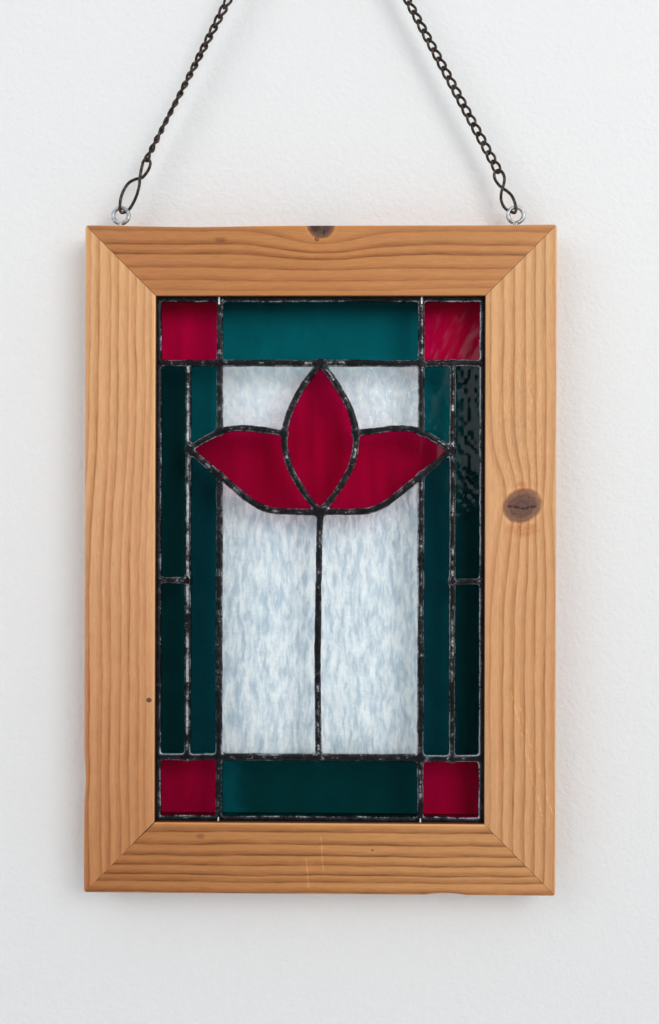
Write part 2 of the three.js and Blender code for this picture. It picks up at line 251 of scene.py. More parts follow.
class Finish(Graph):
    """A material with one Principled shader."""

    def __init__(self, name):
        self.material = bpy.data.materials.new(name)
        self.material.use_nodes = True
        super().__init__(self.material.node_tree)
        self.tree.nodes.clear()
        self.shader = self.add("ShaderNodeBsdfPrincipled")
        self.output = self.add("ShaderNodeOutputMaterial", Surface=Signal(self, self.shader.outputs[0]))

    def set(self, **values):
        for name, value in values.items():
            self.plug(value, self.shader.inputs[name.replace("_", " ")])

    def bump(self, height, distance):
        """Fine relief. height is from -1 to 1 and distance, in millimetres, is what 1 stands for."""
        self.set(Normal=self.made("ShaderNodeBump", Height=height, Distance=distance * MM, Strength=1.0))


# ---- Meshes ----


def volume(points, faces):
    """The signed volume inside some faces, each a fan round its first corner."""
    total = 0.0
    for block in faces:
        block = np.asarray(block)
        first = points[block[:, 0]]
        for i in range(1, block.shape[1] - 1):
            crossed = np.cross(points[block[:, i]], points[block[:, i + 1]])
            total += np.einsum("ij,ij->", first, crossed)
    return total / 6


def piece(name, points, faces, material, nodes, slot, marks=None, crease=50):
    """Makes a shown piece. faces is a list of blocks with the same number of corners each.

    marks are rows of up to three numbers for each point, which its material reads by their name.
    """
    points = np.asarray(points, float) + [CENTRE[X], 0, CENTRE[Z]]
    if volume(points, faces) < 0:
        faces = [np.asarray(block)[:, ::-1] for block in faces]
    mesh = bpy.data.meshes.new(name)
    mesh.from_pydata((points * MM).tolist(), [], [f for block in faces for f in block.tolist()])
    for key, rows in (marks or {}).items():
        values = np.zeros((len(points), 3), np.float32)
        values[:, :len(rows)] = np.transpose(rows)
        mark = mesh.attributes.new(key, "FLOAT_VECTOR", "POINT")
        mark.data.foreach_set("vector", values.ravel())
    mesh.shade_smooth()
    mesh.set_sharp_from_angle(angle=math.radians(crease))
    mesh.materials.append(material)
    shown = bpy.data.objects.new(name, mesh)
    bpy.context.scene.collection.objects.link(shown)
    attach(shown, "root")
    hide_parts(*nodes)
    return shown


# ---- The pine frame ----

EASE = 0.9  # radius of the members' edges
CORNER = 1.3  # radius of the frame's outer corners, seen from the front
MITRE_GAP = 0.11  # each mitre face stands back by this much
GAPE, GAPE_START, GAPE_SPAN = 0.25, 17, 12  # how an opened mitre widens across the member
BOARD_STEP = 0.95  # spacing of a board's mesh
FINE_STEP = 0.34  # the same across knots


def spaced(low, high, step, fine=()):
    """Places from low to high, a step apart, but closer inside the fine ranges."""
    places = [low]
    while places[-1] < high:
        here = places[-1]
        close = any(a <= here <= b for a, b in fine)
        places.append(here + (FINE_STEP if close else step))
    places = np.array(places)
    return low + (places - low) * (high - low) / (places[-1] - low)


def quarter(centre, radius, first, steps=5):
    """A quarter circle, starting at an angle in degrees."""
    turns = np.radians(first + np.linspace(0, 90, steps + 1))
    return [(centre[0] + radius * math.cos(t), centre[1] + radius * math.sin(t)) for t in turns]


def member_section(fine):
    """A member's section: distance from its outer edge, and depth. It goes round once."""
    inner, back = MEMBER - EASE, HALF_DEPTH - EASE
    outline = quarter((EASE, -back), EASE, 180)
    outline += [(v, FRONT) for v in spaced(EASE, inner, BOARD_STEP, fine)[1:-1]]
    outline += quarter((inner, -back), EASE, 270)
    outline += [(MEMBER, y) for y in np.linspace(-back, PANEL_Y - GROOVE, 4)[1:]]
    outline += [(GROOVE_FLOOR, PANEL_Y - GROOVE), (GROOVE_FLOOR, PANEL_Y + GROOVE)]
    outline += [(MEMBER, y) for y in np.linspace(PANEL_Y + GROOVE, back, 8)[:-1]]
    outline += quarter((inner, back), EASE, 0)
    outline += [(v, HALF_DEPTH) for v in np.linspace(inner, EASE, 20)[1:-1]]
    outline += quarter((EASE, back), EASE, 90)
    outline += [(0, y) for y in np.linspace(back, -back, 18)[1:-1]]
    return np.array(outline)


def rounded_corner(along, across):
    """Bends the square outer corner of a board into an arc."""
    in_a, in_b = np.maximum(CORNER - along, 0), np.maximum(CORNER - across, 0)
    reach = np.maximum(np.hypot(in_a, in_b), 1e-9)
    share = np.where((in_a > 0) & (in_b > 0), np.maximum(in_a, in_b) / reach, 1)
    return [np.where(inside > 0, CORNER - inside * share, place)
            for inside, place in ((in_a, along), (in_b, across))]


# A knot in a board: its centre and half sizes along and across the board, its lean and its lightness.
Knot = namedtuple("Knot", "u v long wide lean light", defaults=(0.0, 1.0))


def fine_ranges(knots, axis, margin=1.5):
    """Where a board's mesh is fine for its knots, along it (axis 0) or across it (axis 1)."""
    reaches = [(knot[axis], knot[axis + 2] + margin) for knot in knots]
    return [(middle - reach, middle + reach) for middle, reach in reaches]


def mitre_gap(v, opened):
    """How far a mitre face stands back. An opened mitre gapes over its inner third."""
    if opened:
        return 0.03 + GAPE * eased(np.clip((v - GAPE_START) / GAPE_SPAN, 0, 1))
    return MITRE_GAP + 0 * v


class Board:
    """One member: its outer edge's ends, the direction across it, and its grain."""

    def __init__(self, name, start, end, inward, grain):
        self.name, self.grain = name, grain
        self.start, self.end, self.inward = (np.array(place, float) for place in (start, end, inward))
        self.length = np.linalg.norm(self.end - self.start)
        self.direction = (self.end - self.start) / self.length
        self.knots = grain.get("knots", [])

    def ends(self, across):
        """Where each mitre crosses the lines at these distances from the outer edge."""
        inner_half = np.array([HALF_WIDTH - MEMBER, HALF_HEIGHT - MEMBER])
        share = across[:, None] / MEMBER
        return [corner + (np.sign(corner) * inner_half - corner) * share
                for corner in (self.start, self.end)]

    def mesh(self):
        """Its points, blocks of faces, and grain: the place along it, across it and behind its front."""
        across, depth = member_section(fine_ranges(self.knots, 1)).T
        first, last = self.ends(across)
        near_end = np.array([0, 0.25, 0.7, 1.5])
        middle = spaced(2.4, self.length - 2.4, BOARD_STEP, fine_ranges(self.knots, 0))
        stations = np.concatenate([near_end, middle, self.length - near_end[::-1]])
        share = (stations / self.length)[:, None, None]
        place = first * (1 - share) + last * share
        back = [mitre_gap(across, opened) for opened in self.grain.get("opened", (False, False))]
        lean = back[0] * (1 - share[..., 0]) - back[1] * share[..., 0]
        place = place + lean[..., None] * self.direction
        along = (place - self.start) @ self.direction
        v, y, _ = np.broadcast_arrays(across, depth, along)
        grain = np.stack([along, v, y - FRONT]).reshape(3, -1)
        place = self.dented(place, along, v, y)
        y = y + self.sunk(along, v, y)
        points = np.stack([place[..., 0], y, place[..., 1]], axis=-1).reshape(-1, 3)
        index = np.arange(along.size).reshape(along.shape)
        beside = np.roll(index, -1, axis=1)
        quads = np.stack([index[:-1], index[1:], beside[1:], beside[:-1]], axis=-1).reshape(-1, 4)
        caps = np.stack([index[0], index[-1][::-1]])
        return points, [quads, caps], grain

    def dented(self, place, along, v, y):
        """Rounds the outer corners and takes the dents out of the outer edge."""
        near_start = along < self.length / 2
        from_end = np.where(near_start, along, self.length - along)
        rounded_end, rounded_edge = rounded_corner(from_end, v)
        shift = np.where(near_start, rounded_end - from_end, from_end - rounded_end)
        dent = self.grain.get("dent", lambda u, depth: 0 * u)(along, y - FRONT)
        inwards = rounded_edge - v + dent * np.clip(1 - v / 5, 0, 1)
        return place + shift[..., None] * self.direction + inwards[..., None] * self.inward

    def sunk(self, along, v, y):
        """How far each point of the front lies behind the plane: a faint waviness, knots and cracks."""
        front = bell(y - FRONT, 0.4)
        total = 0.03 * relief(along, v, (40, 5), 5)
        for knot in self.knots:
            aside = v - knot.v
            away = np.hypot((along - knot.u - knot.lean * aside) / knot.long, aside / knot.wide)
            total = total + 0.15 * bell(away - 1, 0.07)
            crack = bell(along - knot.u - 0.8 - 0.5 * np.sin(v / 1.9), 0.3) * (away < 0.8)
            total = total + 0.45 * crack
        return np.maximum(total, 0) * front


def growth_rings(g, ring, grain):
    """The dark late wood: each ring darkens slowly on one side and ends sharply on the other."""
    sign = 1 if grain["fades_in"] else -1
    stops = []
    for place, strength in sorted(grain["rings"]):
        stops += sorted([(place - 2.5 * sign, 0.0), (place - 0.6 * sign, 0.6 * strength),
                         (place, strength), (place + 0.6 * sign, 0.0)])
    stops = stops[:1] + [b for a, b in zip(stops, stops[1:]) if b[0] > a[0]]
    return g.ramp(ring, stops)


def pine(name, length, grain):
    """Pine: growth rings as lines along the board, fibres, knots, scratches and worn outer edges, with a
    painted highlight on the inner edge and painted shade on the opening's inner faces.
    """
    g = Finish(name)
    spot = u, v, w = g.attribute("grain")
    wander = g.noise(spot, (46, 30, 30), 1) * 0.55 + g.noise(spot, (11, 3, 3), 2) * 0.16
    ring = v + w * 0.45 + wander
    for bend in grain.get("bends", []):
        ring = ring + bend(u, v)
    broken = g.noise(spot, (24, 1.6, 1.6), 3, 0.6) * 0.4 + 0.9
    late = growth_rings(g, ring, grain) * broken
    early = [linear(*colour) for colour in grain["early"]]
    ground = g.ramp(u, [(length * i / (len(early) - 1), colour) for i, colour in enumerate(early)])
    fibre = g.noise(spot, (7, 0.85, 1.0), 3, 0.75)
    streak = g.noise(spot, (60, 2.4, 3), 2)
    cloud = g.noise(spot, (14, 5, 9), 2)
    pores = g.noise(spot, (3.0, 0.5, 0.6), 1).rise(0.75, 1.15)
    shade = 1 - late * grain["contrast"] + fibre * 0.12 + streak * 0.06 + cloud * 0.03 - pores * 0.18
    colour = g.shaded(ground, shade)
    hue = g.noise((u, v, w + 70), (45, 2.6, 4), 2)
    colour = g.tinted(colour, hue.rise(-0.2, 0.7) * 0.5, (1.0, 0.93, 0.94, 1))
    colour = g.tinted(colour, late * 0.8, (1.0, 0.76, 0.56, 1))
    height = fibre * 0.7 + late * 0.15 - pores * 0.9
    for knot in grain.get("knots", []):
        colour, height = with_knot(g, colour, height, spot, knot)
    for paint, *how in grain.get("marks", []):
        colour = paint(g, colour, u, v, *how)
    # The outer edge of the front is lighter with wear. The inner edge carries a painted highlight, its
    # strength set per member by how the light falls on it: most on the bottom rail, least on the right
    # stile.
    outer_edge, inner_edge = (v * -1 + 0.9).rise(0.0, 0.9), (v - MEMBER + 1.0).rise(0.0, 0.9)
    worn = outer_edge * 0.25 + inner_edge * grain.get("lip_highlight", 0.2)
    colour = g.shaded(colour, worn * w.rise(2.0, 0.0) + 1)
    # Painted shade: the opening's inner faces, from about a millimetre behind the front, are darkened
    # almost to black-brown as shade in the recess.
    painted_recess_shade = (v - MEMBER + 0.35).rise(0.0, 0.3) * w.rise(0.5, 1.3)
    colour = g.mix(painted_recess_shade * 0.85, colour, linear(34, 18, 10))
    g.set(Base_Color=colour, Roughness=0.52 - late * 0.1 + streak * 0.03, Specular_IOR_Level=0.35)
    g.bump(height, 0.035)
    return g.material


def with_knot(g, colour, height, spot, knot):
    """Paints a knot: dark heartwood with its own rings, a crack, a darker rim and a pale halo."""
    u, v, _ = spot
    ragged = g.noise(spot, (4.5, 4.5, 9), 3, 0.6) * 0.05
    aside = v - knot.v
    across = (u - knot.u - aside * knot.lean) * (1 / knot.long)
    beside = aside * (1 / knot.wide)
    away = (across * across + beside * beside).math("SQRT") + ragged
    inside = away.rise(1.05, 0.92)
    rings = (away * 17 + g.noise(spot, (3, 3, 9), 3, 0.6) * 3).math("SINE") * 0.5 + 0.5
    grit = g.noise(spot, (0.9, 0.9, 3), 3, 0.7)
    depth = rings * 0.3 + away.rise(0.45, 1.0) * 0.65 + grit * 0.18
    heart = g.mix(depth, linear(88, 62, 54), linear(146, 100, 74))
    rim = (away - 1.0).bell(0.06)
    line = u - knot.u - 0.8 - (v * (1 / 1.9)).math("SINE") * 0.5
    crack = line.bell(0.26) * away.rise(0.85, 0.7) * g.noise(spot, (2.2, 2.2, 9), 1).rise(-0.6, 0.1)
    flecks = g.specks(spot, (1.3, 1.0, 3), 0.3) * away.rise(0.95, 0.8)
    heart = g.shaded(heart, (1 - crack * 0.75 - flecks * 0.35) * knot.light)
    halo = (away - 1.16).bell(0.1)
    colour = g.shaded(colour, 1 + halo * 0.1 - rim * 0.4)
    return g.mix(inside, colour, heart), height - crack * 3


def scratch(g, colour, u, v, start, end, width, gain, dashes=None):
    """A straight mark between two places on a board, lighter or darker by a gain."""
    long = math.dist(start, end)
    cu, cv = (end[0] - start[0]) / long, (end[1] - start[1]) / long
    along = (u - start[0]) * cu + (v - start[1]) * cv
    aside = (v - start[1]) * cu - (u - start[0]) * cv
    wobble = g.noise((u, v, u * 0), (9, 9, 1), 2) * 0.35
    share = (aside + wobble).bell(width) * along.rise(-0.5, 1.0) * along.rise(long + 0.5, long - 1.0)
    if dashes:
        share = share * g.noise((along, aside, along * 0), (dashes, 0.5, 1), 1).rise(-0.1, 0.5)
    return g.shaded(colour, share * gain + 1)


def oval(u, v, centre, sizes):
    """0 at an oval's centre and 1 on its rim, squared."""
    across, beside = (u - centre[0]) * (1 / sizes[0]), (v - centre[1]) * (1 / sizes[1])
    return across * across + beside * beside


def blot(g, colour, u, v, centre, sizes, tint, strength):
    """A soft stain: towards a tint, round a place."""
    ragged = g.noise((u, v, u * 0), (1.5, 1.0, 1), 2) * 0.2
    away = oval(u, v, centre, sizes).math("SQRT") + ragged
    return g.mix(away.rise(1.1, 0.4) * strength, colour, linear(*tint))


def specked(g, colour, u, v, centre, sizes, tint, strength):
    """A reddish patch with small dark pits."""
    flat = (u, v, u * 0)
    patch = (oval(u, v, centre, sizes) + g.noise(flat, (2.5, 2.5, 1), 3, 0.6) * 0.5).rise(1.2, 0.4)
    pits = g.specks(flat, (1.2, 1.0, 1), 0.34) * patch
    return g.shaded(g.tinted(colour, patch * strength, (*tint, 1)), 1 - pits * 0.4)


def flecked(g, colour, u, v, centre, sizes, cell, gain):
    """A patch of short dashes along the grain."""
    patch = oval(u, v, centre, sizes).rise(1.0, 0.3)
    dashes = g.noise((u, v, u * 0), (*cell, 1), 1).rise(0.3, 0.8)
    return g.shaded(colour, patch * dashes * gain + 1)


def along_bell(u0, long, v0, wide, lift):
    """A bend of the rings beside a knot."""
    return lambda u, v: (u - u0).bell(long) * (v - v0).bell(wide) * lift


def top_hollow(u, depth):
    """The top rail's outer edge is planed a little hollow, mostly over its left half."""
    ends = eased(np.clip(u / 25, 0, 1)) * eased(np.clip((2 * HALF_WIDTH - u) / 40, 0, 1))
    return 0.3 * ends + 0.55 * bell(u - 50, 17)


def boards():
    """The four members. Their grain is measured from the outer edge, and along from left or top."""
    w, h = HALF_WIDTH, HALF_HEIGHT
    dark, brown = (92, 58, 40), (120, 72, 44)
    top = {
        "rings": [(1.9, .7), (8.1, 1.1), (12.6, 1.3), (18.6, .8), (24.3, .7), (28.6, .5)],
        "fades_in": True, "contrast": 0.45,
        "early": [(181, 120, 71), (190, 127, 73), (194, 134, 80)],
        "knots": [Knot(105.3, 0.4, 5.7, 5.6, light=0.72)],
        "bends": [
            along_bell(105.3, 15, 4, 8, -6.5),
            lambda u, v: u * -0.0062,
            along_bell(180, 26, 29, 3.5, 1.6),
        ],
        "marks": [
            (blot, (60.4, 7), (3.2, 1.6), brown, 0.6),
            (blot, (102.6, 1.6), (2.4, 2.2), (52, 34, 30), 0.8),
            (blot, (103.4, 6.6), (1.15, 1.15), dark, 0.95),
            (blot, (103.5, 6.5), (0.5, 0.5), (170, 112, 72), 0.8),
        ],
        "dent": top_hollow,
    }
    bottom = {
        "rings": [(.9, .9), (5.5, .9), (8.5, 1), (12.9, 1), (17.2, 1.1), (22.2, 1), (27.8, 1)],
        "fades_in": False, "contrast": 0.58, "lip_highlight": 0.55, "opened": (True, False),
        "early": [(168, 108, 60), (186, 128, 75), (200, 144, 92)],
        "marks": [
            (scratch, (105.7, 26.0), (107.1, 10.5), 0.16, 0.45),
            (scratch, (99.5, 16.2), (100.5, 2.4), 0.16, 0.45),
            (blot, (52.2, 25.6), (2.6, 1.5), (120, 74, 44), 0.6),
            (blot, (128.8, 20), (0.8, 0.6), dark, 0.8),
        ],
        "dent": lambda u, depth: np.maximum(0.85 - 0.09 * depth - (u - 161.5) ** 2 / 100, 0),
    }
    left = {
        "rings": [(2.2, .7), (6.1, 1.2), (11.3, .8), (14.9, 1), (19.3, .7), (22.9, .9), (26.9, .7),
                  (29.6, .5)],
        "fades_in": True, "contrast": 0.33, "lip_highlight": 0.35, "opened": (False, True),
        "early": [(221, 170, 119), (213, 158, 113), (184, 125, 78)],
        "knots": [Knot(211.9, 29.0, 1.1, 1.3)],
        "bends": [lambda u, v: (v * -0.07 + 4.1) * u.rise(70, 160)],
        "dent": lambda u, depth: 0.7 * bell(u - 247.5, 5.5),
    }
    right = {
        "rings": [(1.0, .6), (5.0, 1), (9.5, 1), (14.0, 1), (18.9, 1.1), (23.8, 1), (29.3, .8)],
        "fades_in": False, "contrast": 0.36, "lip_highlight": 0.15,
        "early": [(218, 168, 116), (213, 160, 112), (204, 152, 105)],
        "knots": [Knot(124.9, 15.2, 7.2, 8.2, lean=0.12)],
        "bends": [
            along_bell(129, 20, 24, 10, 4.0),
            along_bell(117, 9, 21, 8, 3.4),
            along_bell(125, 11, 5, 4.5, -2.0),
        ],
        "marks": [
            (scratch, (206.8, 20.1), (268.9, 4.4), 0.3, 0.4, 2.4),
            (scratch, (212, 17), (262, 1.5), 0.25, 0.35, 2.4),
            (specked, (135.4, 15.4), (3.6, 7.6), (0.93, 0.74, 0.66), 0.75),
            (specked, (116.5, 15.6), (2.6, 3.2), (0.9, 0.68, 0.62), 0.7),
            (flecked, (88, 15), (48, 13), (3.2, 0.6), 0.15),
            (flecked, (95, 16), (50, 13), (2.6, 0.6), -0.15),
        ],
    }
    return {
        "frame_rail_top": Board("top_rail", (-w, h), (w, h), (0, -1), top),
        "frame_rail_bottom": Board("bottom_rail", (-w, -h), (w, -h), (0, 1), bottom),
        "frame_stile_left": Board("left_stile", (-w, h), (-w, -h), (1, 0), left),
        "frame_stile_right": Board("right_stile", (w, h), (w, -h), (-1, 0), right),
    }


def make_frame():
    for node, board in boards().items():
        points, faces, grain = board.mesh()
        finish = pine("pine_" + board.name, board.length, board.grain)
        piece(board.name, points, faces, finish, [node], "pine", {"grain": grain}, crease=38)


# ---- The window's drawing: seams and panes ----


def cubic(start, pulls, end, steps=40):
    t = np.linspace(0, 1, steps + 1)[:, None]
    start, near, far, end = (np.array(p, float) for p in (start, *pulls, end))
    return (1 - t) ** 3 * start + 3 * (1 - t) ** 2 * t * near + 3 * (1 - t) * t**2 * far + t**3 * end


def mirrored(line):
    return np.asarray(line, float) * [-1, 1]


FLOWER_TOP, FLOWER_FOOT = (0, TOP), (0, 21.2)
SHOULDER, TIP = (16.5, 56.9), (SPLIT, 49)
middle_edge = cubic(FLOWER_TOP, [(16.5, 68), (26, 48.5)], FLOWER_FOOT, 80)
shoulder_at = int(np.argmin(np.linalg.norm(middle_edge - SHOULDER, axis=1)))
upper_edge = cubic(TIP, [(41, 61), (41, 60)], middle_edge[shoulder_at])
lower_edge = cubic(TIP, [(22.5, 20.5), (34, 21)], FLOWER_FOOT)


def split_at_inner(edge):
    """Parts a side petal's edge, from its tip, where it crosses the inner upright seam."""
    after = int(np.argmax(edge[:, 0] < INNER))
    share = (edge[after - 1, 0] - INNER) / (edge[after - 1, 0] - edge[after, 0])
    cross = edge[after - 1] + (edge[after] - edge[after - 1]) * share
    return np.vstack([edge[:after], cross]), np.vstack([cross, edge[after:]])


upper_outer, upper_inner = split_at_inner(upper_edge)
lower_outer, lower_inner = split_at_inner(lower_edge)
UPPER_CROSS, LOWER_CROSS = upper_inner[0], lower_inner[0]


def rectangle(left, right, low, high):
    return np.array([[left, low], [right, low], [right, high], [left, high]], float)


def pane_outlines():
    """Each pane's outline along the seams' centres, by the name of its CAD node."""
    panes = {
        "bar_top": rectangle(-INNER, INNER, TOP, RIM_Z),
        "bar_bottom": rectangle(-INNER, INNER, -RIM_Z, BOTTOM),
        "petal_middle": np.vstack([middle_edge, mirrored(middle_edge)[-2:0:-1]]),
    }
    for side, sign in (("right", 1), ("left", -1)):
        halves = {
            "corner_top": rectangle(INNER, RIM_X, TOP, RIM_Z),
            "corner_bottom": rectangle(INNER, RIM_X, -RIM_Z, BOTTOM),
            "outer_strip_upper": rectangle(SPLIT, RIM_X, STRIP_JOINT, TOP),
            "outer_strip_lower": rectangle(SPLIT, RIM_X, BOTTOM, STRIP_JOINT),
            "inner_strip_upper": np.vstack([upper_outer, [(INNER, TOP), (SPLIT, TOP)]]),
            "inner_strip_lower": np.vstack([lower_outer, [(INNER, BOTTOM), (SPLIT, BOTTOM)]]),
            "clear_upper": np.vstack([
                [(INNER, TOP)], middle_edge[:shoulder_at], upper_inner[::-1]]),
            "clear_lower": np.vstack([lower_inner, [(sign * STEM, BOTTOM), (INNER, BOTTOM)]]),
            "petal_side": np.vstack([upper_edge, middle_edge[shoulder_at + 1:], lower_edge[-2:0:-1]]),
        }
        for name, outline in halves.items():
            panes[f"{name}_{side}"] = outline if sign > 0 else mirrored(outline)
    return panes


BEAD = 1.42  # half the width of a solder bead
RIM_BEAD = 1.8  # half the width of the rim's bead
RIM_CREST = RIM_X - 73.2  # from the panel's edge to the rim's crest


def seams():
    """Every seam as a line of points with its half width."""
    side, reach = RIM_X - RIM_CREST, RIM_Z - RIM_CREST
    yield [(-side, TOP), (side, TOP)], BEAD
    yield [(-side, BOTTOM), (side, BOTTOM)], BEAD * 1.04
    yield [FLOWER_FOOT, (-0.9, -30), (STEM, BOTTOM)], BEAD * 1.02
    for sign in (1, -1):
        for line, share in [
            ([(INNER, reach), UPPER_CROSS], 1),
            ([LOWER_CROSS, (INNER, -reach)], 1),
            ([(SPLIT, TOP), (SPLIT, BOTTOM)], 0.95),
            ([(SPLIT, STRIP_JOINT), (side, STRIP_JOINT)], 0.95),
            (middle_edge[::4], 1.02),
            (upper_edge[::3], 0.98),
            (lower_edge[::3], 1.05),
        ]:
            yield np.array(line, float) * [sign, 1], BEAD * share


def joints():
    """Where seams meet, with the radius of the blob of solder there."""
    reach = RIM_Z - RIM_CREST
    yield FLOWER_FOOT, 2.1
    yield FLOWER_TOP, 1.7
    yield (STEM, BOTTOM), 1.8
    for sign in (1, -1):
        for (x, z), radius in [
            ((INNER, TOP), 1.8), ((INNER, BOTTOM), 1.9), ((SPLIT, TOP), 1.6), ((SPLIT, BOTTOM), 1.7),
            (UPPER_CROSS, 1.7), (LOWER_CROSS, 1.7), (TIP, 1.5), ((SPLIT, STRIP_JOINT), 1.8),
            (middle_edge[shoulder_at], 1.8), ((INNER, reach), 1.7), ((INNER, -reach), 1.7),
        ]:
            yield (sign * x, z), radius


def from_rim(x, z):
    """How far inside the panel's edge a place is."""
    return np.minimum(RIM_X - np.abs(x), RIM_Z - np.abs(z))


def distance_to_line(x, z, line):
    """The distance from each place to a line of points."""
    best = np.full(np.shape(x), np.inf)
    for (ax, az), (bx, bz) in zip(line[:-1], line[1:]):
        dx, dz = bx - ax, bz - az
        t = np.clip(((x - ax) * dx + (z - az) * dz) / (dx * dx + dz * dz), 0, 1)
        best = np.minimum(best, (x - ax - t * dx) ** 2 + (z - az - t * dz) ** 2)
    return np.sqrt(best)


def inside_outline(x, z, outline):
    """True inside a closed outline: a ray to the right crosses it an odd number of times."""
    odd = np.zeros(np.shape(x), bool)
    for (ax, az), (bx, bz) in zip(outline, np.roll(outline, -1, axis=0)):
        if az == bz:
            continue
        crosses = (az > z) != (bz > z)
        odd ^= crosses & (x < ax + (z - az) * (bx - ax) / (bz - az))
    return odd


# ---- Plates: closed sheets cut to a field ----


def slope(field, x, z, step=0.05):
    across = (field(x + step, z) - field(x - step, z)) / (2 * step)
    up = (field(x, z + step) - field(x, z - step)) / (2 * step)
    return across, up


def drawn_to_edge(field, x, z, most):
    """Moves places along the field's slope to where it is 0, by at most a given distance."""
    for _ in range(4):
        value = field(x, z)
        across, up = slope(field, x, z)
        steep = np.maximum(across**2 + up**2, 0.04)
        move_x, move_z = -value * across / steep, -value * up / steep
        long = np.maximum(np.hypot(move_x, move_z), 1e-9)
        share = np.minimum(1, most / long)
        x, z = x + move_x * share, z + move_z * share
    return x, z


def without_pinches(kept):
    """Fills a cell wherever two kept cells would touch only at a corner."""
    while True:
        a, b, c, d = kept[:-1, :-1], kept[1:, :-1], kept[:-1, 1:], kept[1:, 1:]
        rising = a & d & ~b & ~c
        falling = b & c & ~a & ~d
        if not (rising | falling).any():
            return kept
        kept[1:, :-1] |= rising
        kept[:-1, :-1] |= falling


def plate(field, low, high, cell, front, back):
    """A closed plate over the places where field > 0, between two height functions.

    Gives its points, its blocks of faces and its points' places in the plane.
    """
    columns = np.arange(math.floor(low[0] / cell), math.ceil(high[0] / cell) + 1) * cell
    rows = np.arange(math.floor(low[1] / cell), math.ceil(high[1] / cell) + 1) * cell
    x, z = np.meshgrid(columns, rows, indexing="ij")
    near = field(x, z) > -cell / 2
    kept = without_pinches(near[:-1, :-1] & near[1:, :-1] & near[:-1, 1:] & near[1:, 1:])
    number = np.full(x.shape, -1)
    count = np.zeros(x.shape, int)
    for i, j in ((0, 0), (1, 0), (0, 1), (1, 1)):
        count[i:i + kept.shape[0], j:j + kept.shape[1]] += kept
    used = count > 0
    number[used] = np.arange(used.sum())
    at = np.argwhere(kept)
    i, j = at[:, 0], at[:, 1]
    quads = np.stack([number[i, j], number[i + 1, j], number[i + 1, j + 1], number[i, j + 1]], axis=1)
    x, z, count = x[used], z[used], count[used]
    x, z, border = fitted(field, x, z, count < 4, quads, cell)
    total = len(x)
    points = np.concatenate([
        np.stack([x, PANEL_Y - front(x, z), z], axis=1),
        np.stack([x, PANEL_Y + back(x, z), z], axis=1),
    ])
    walls = np.stack([border[:, 0], border[:, 0] + total, border[:, 1] + total, border[:, 1]], axis=1)
    return points, [quads, quads[:, ::-1] + total, walls], (np.tile(x, 2), np.tile(z, 2))


def fitted(field, x, z, edge, quads, cell):
    """Draws a sheet's edge to where the field is 0 and evens out the mesh beside it."""
    sides = np.concatenate([quads[:, [a, (a + 1) % 4]] for a in range(4)])
    keys = sides[:, 0] * len(x) + sides[:, 1]
    back = sides[:, 1] * len(x) + sides[:, 0]
    border = sides[~np.isin(keys, back)]
    beside = edge.copy()
    for _ in range(2):
        touched = beside[sides[:, 0]] | beside[sides[:, 1]]
        beside[sides[touched].ravel()] = True
    inner = beside & ~edge

    def average(values, links):
        total = np.bincount(links[:, 0], values[links[:, 1]], len(values))
        total += np.bincount(links[:, 1], values[links[:, 0]], len(values))
        number = np.bincount(links.ravel(), minlength=len(values))
        return total / np.maximum(number, 1)

    pull = 0.6
    x[edge], z[edge] = drawn_to_edge(field, x[edge], z[edge], cell * 0.5)
    for _ in range(4):
        for links, moved in ((border, edge), (sides, inner)):
            for places in (x, z):
                mean = average(places, links)
                places[moved] += (mean[moved] - places[moved]) * pull
        x[edge], z[edge] = drawn_to_edge(field, x[edge], z[edge], cell * 0.5)
    return x, z, border


# ---- Copper foil and solder ----

SOLDER_CELL = INNER / 100
SINK = 0.12  # the bead's edge lies this far below the glass's face
GLINT_SLITS = [  # upright slits painted near-white as glints: the place and half the height
    (-INNER - 0.2, 116.0, 1.5), (INNER + 0.1, 116.0, 1.4), (-INNER, -117.0, 0.8), (INNER, -117.0, 0.8),
]


def solder_body(x, z):
    """How far inside the solder a place is: 1 on a seam's centre, 0 at its edge and below outside."""
    warped_x = x + 0.16 * relief(x, z, 7, 11) + 0.07 * relief(x, z, 2.3, 12)
    warped_z = z + 0.16 * relief(x, z, 7, 13) + 0.07 * relief(x, z, 2.3, 14)
    swell = 1 + 0.07 * relief(x, z, 5, 15) + 0.03 * relief(x, z, 2, 16)
    total = np.zeros(np.shape(x))
    softness = 1.6

    def join(where, away, half):
        body = 1 - (away / (half * swell[where])) ** 2
        total[where] += np.exp(softness * np.maximum(body, -8))

    for line, half in seams():
        low_x, low_z = np.min(line, axis=0) - 5
        high_x, high_z = np.max(line, axis=0) + 5
        close = (x > low_x) & (x < high_x) & (z > low_z) & (z < high_z)
        join(close, distance_to_line(warped_x[close], warped_z[close], line), half)
    for (cx, cz), radius in joints():
        close = (np.abs(x - cx) < 6) & (np.abs(z - cz) < 6)
        join(close, np.hypot(warped_x[close] - cx, warped_z[close] - cz), radius)
    join(..., np.maximum(from_rim(warped_x, warped_z) - RIM_CREST, 0), RIM_BEAD)
    return np.log(np.maximum(total, 1e-9)) / softness


def solder_field(x, z):
    """Roughly the distance to the solder's edge, positive inside, ending at the panel's edge."""
    return np.minimum(np.minimum(solder_body(x, z), 1) * BEAD / 2, from_rim(x, z))


def solder_height(seed):
    def height(x, z):
        body = np.clip(solder_body(x, z), 0, 1)
        crest = 0.84 + 0.11 * relief(x, z, 4.5, seed) + 0.05 * relief(x, z, 1.6, seed + 1)
        return HALF_GLASS - SINK + (PROUD * crest + SINK) * body**0.55
    return height


